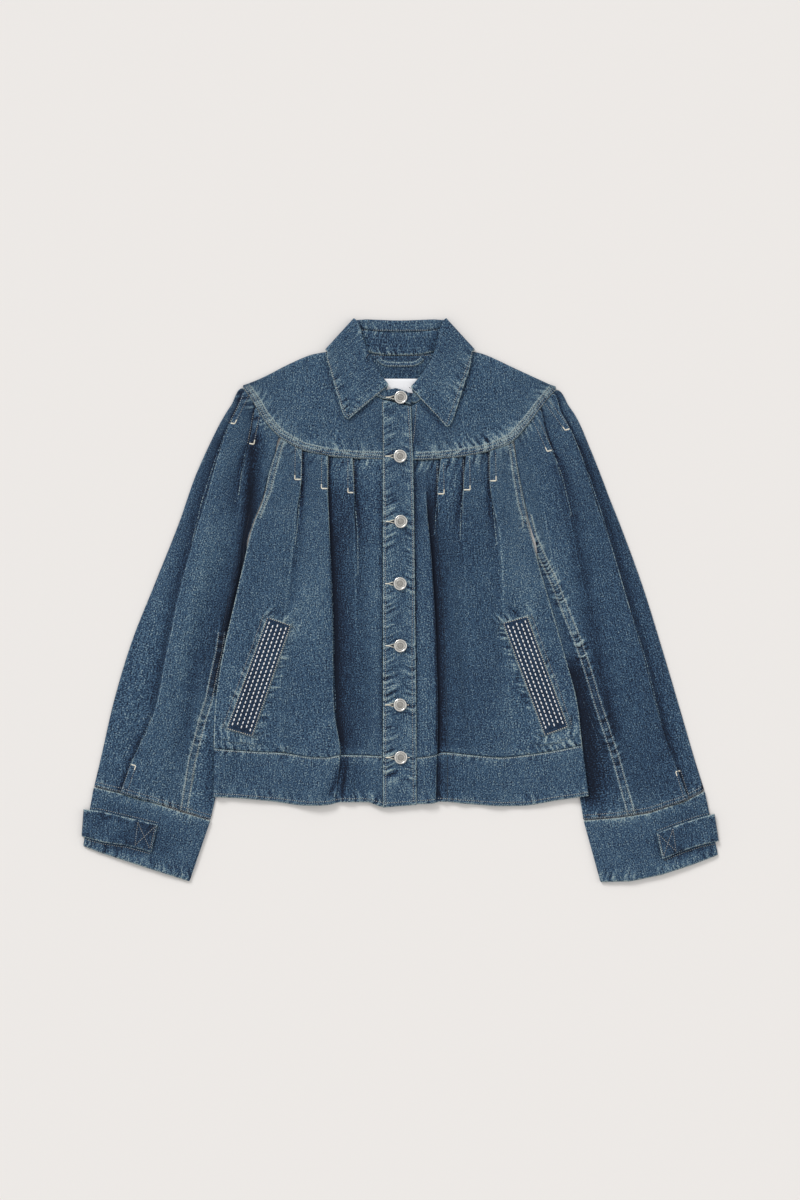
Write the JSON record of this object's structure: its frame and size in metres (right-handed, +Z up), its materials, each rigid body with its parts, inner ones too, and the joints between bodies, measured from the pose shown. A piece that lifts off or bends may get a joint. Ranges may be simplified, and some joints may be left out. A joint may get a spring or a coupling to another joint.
{
  "type": "denim jacket",
  "caption": "Short flared denim jacket laid flat and buttoned, with a round yoke, pleated fronts and sleeves, pointed collar, welt pockets and banded cuffs.",
  "frame": {"origin": "on the surface, under the middle of the laid jacket's box", "axes": "+Z up from the surface, +Y towards the collar, +X towards the wearer's left sleeve"},
  "size_m": [0.8267, 0.7325, 0.0102],
  "materials": {
    "denim": "washed mid-blue twill",
    "denim_band": "washed mid-blue twill, doubled",
    "welt_denim": "dark indigo twill with white running stitches",
    "thread": "cream sewing thread",
    "label_tape": "white woven tape, bare",
    "silver_button": "silver, lightly worn"
  },
  "bodies": {
    "root": {"back_panel": "denim", "back_yoke": "denim", "back_hem_band": "denim_band", "right_front": "denim", "left_front": "denim", "right_front_yoke": "denim", "left_front_yoke": "denim", "right_front_hem_band": "denim_band", "left_front_hem_band": "denim_band", "right_sleeve": "denim", "left_sleeve": "denim", "right_cuff": "denim_band", "left_cuff": "denim_band", "right_cuff_tab": "denim_band", "left_cuff_tab": "denim_band", "right_pocket_welt": "welt_denim", "left_pocket_welt": "welt_denim", "under_placket": "denim_band", "button_placket": "denim_band", "collar_stand": "denim_band", "collar_leaf": "denim_band", "hanger_loop": "denim_band", "neck_label": "label_tape", "button_1": "silver_button", "button_2": "silver_button", "button_3": "silver_button", "button_4": "silver_button", "button_5": "silver_button", "button_6": "silver_button", "button_7": "silver_button"}
  },
  "joints": []
}
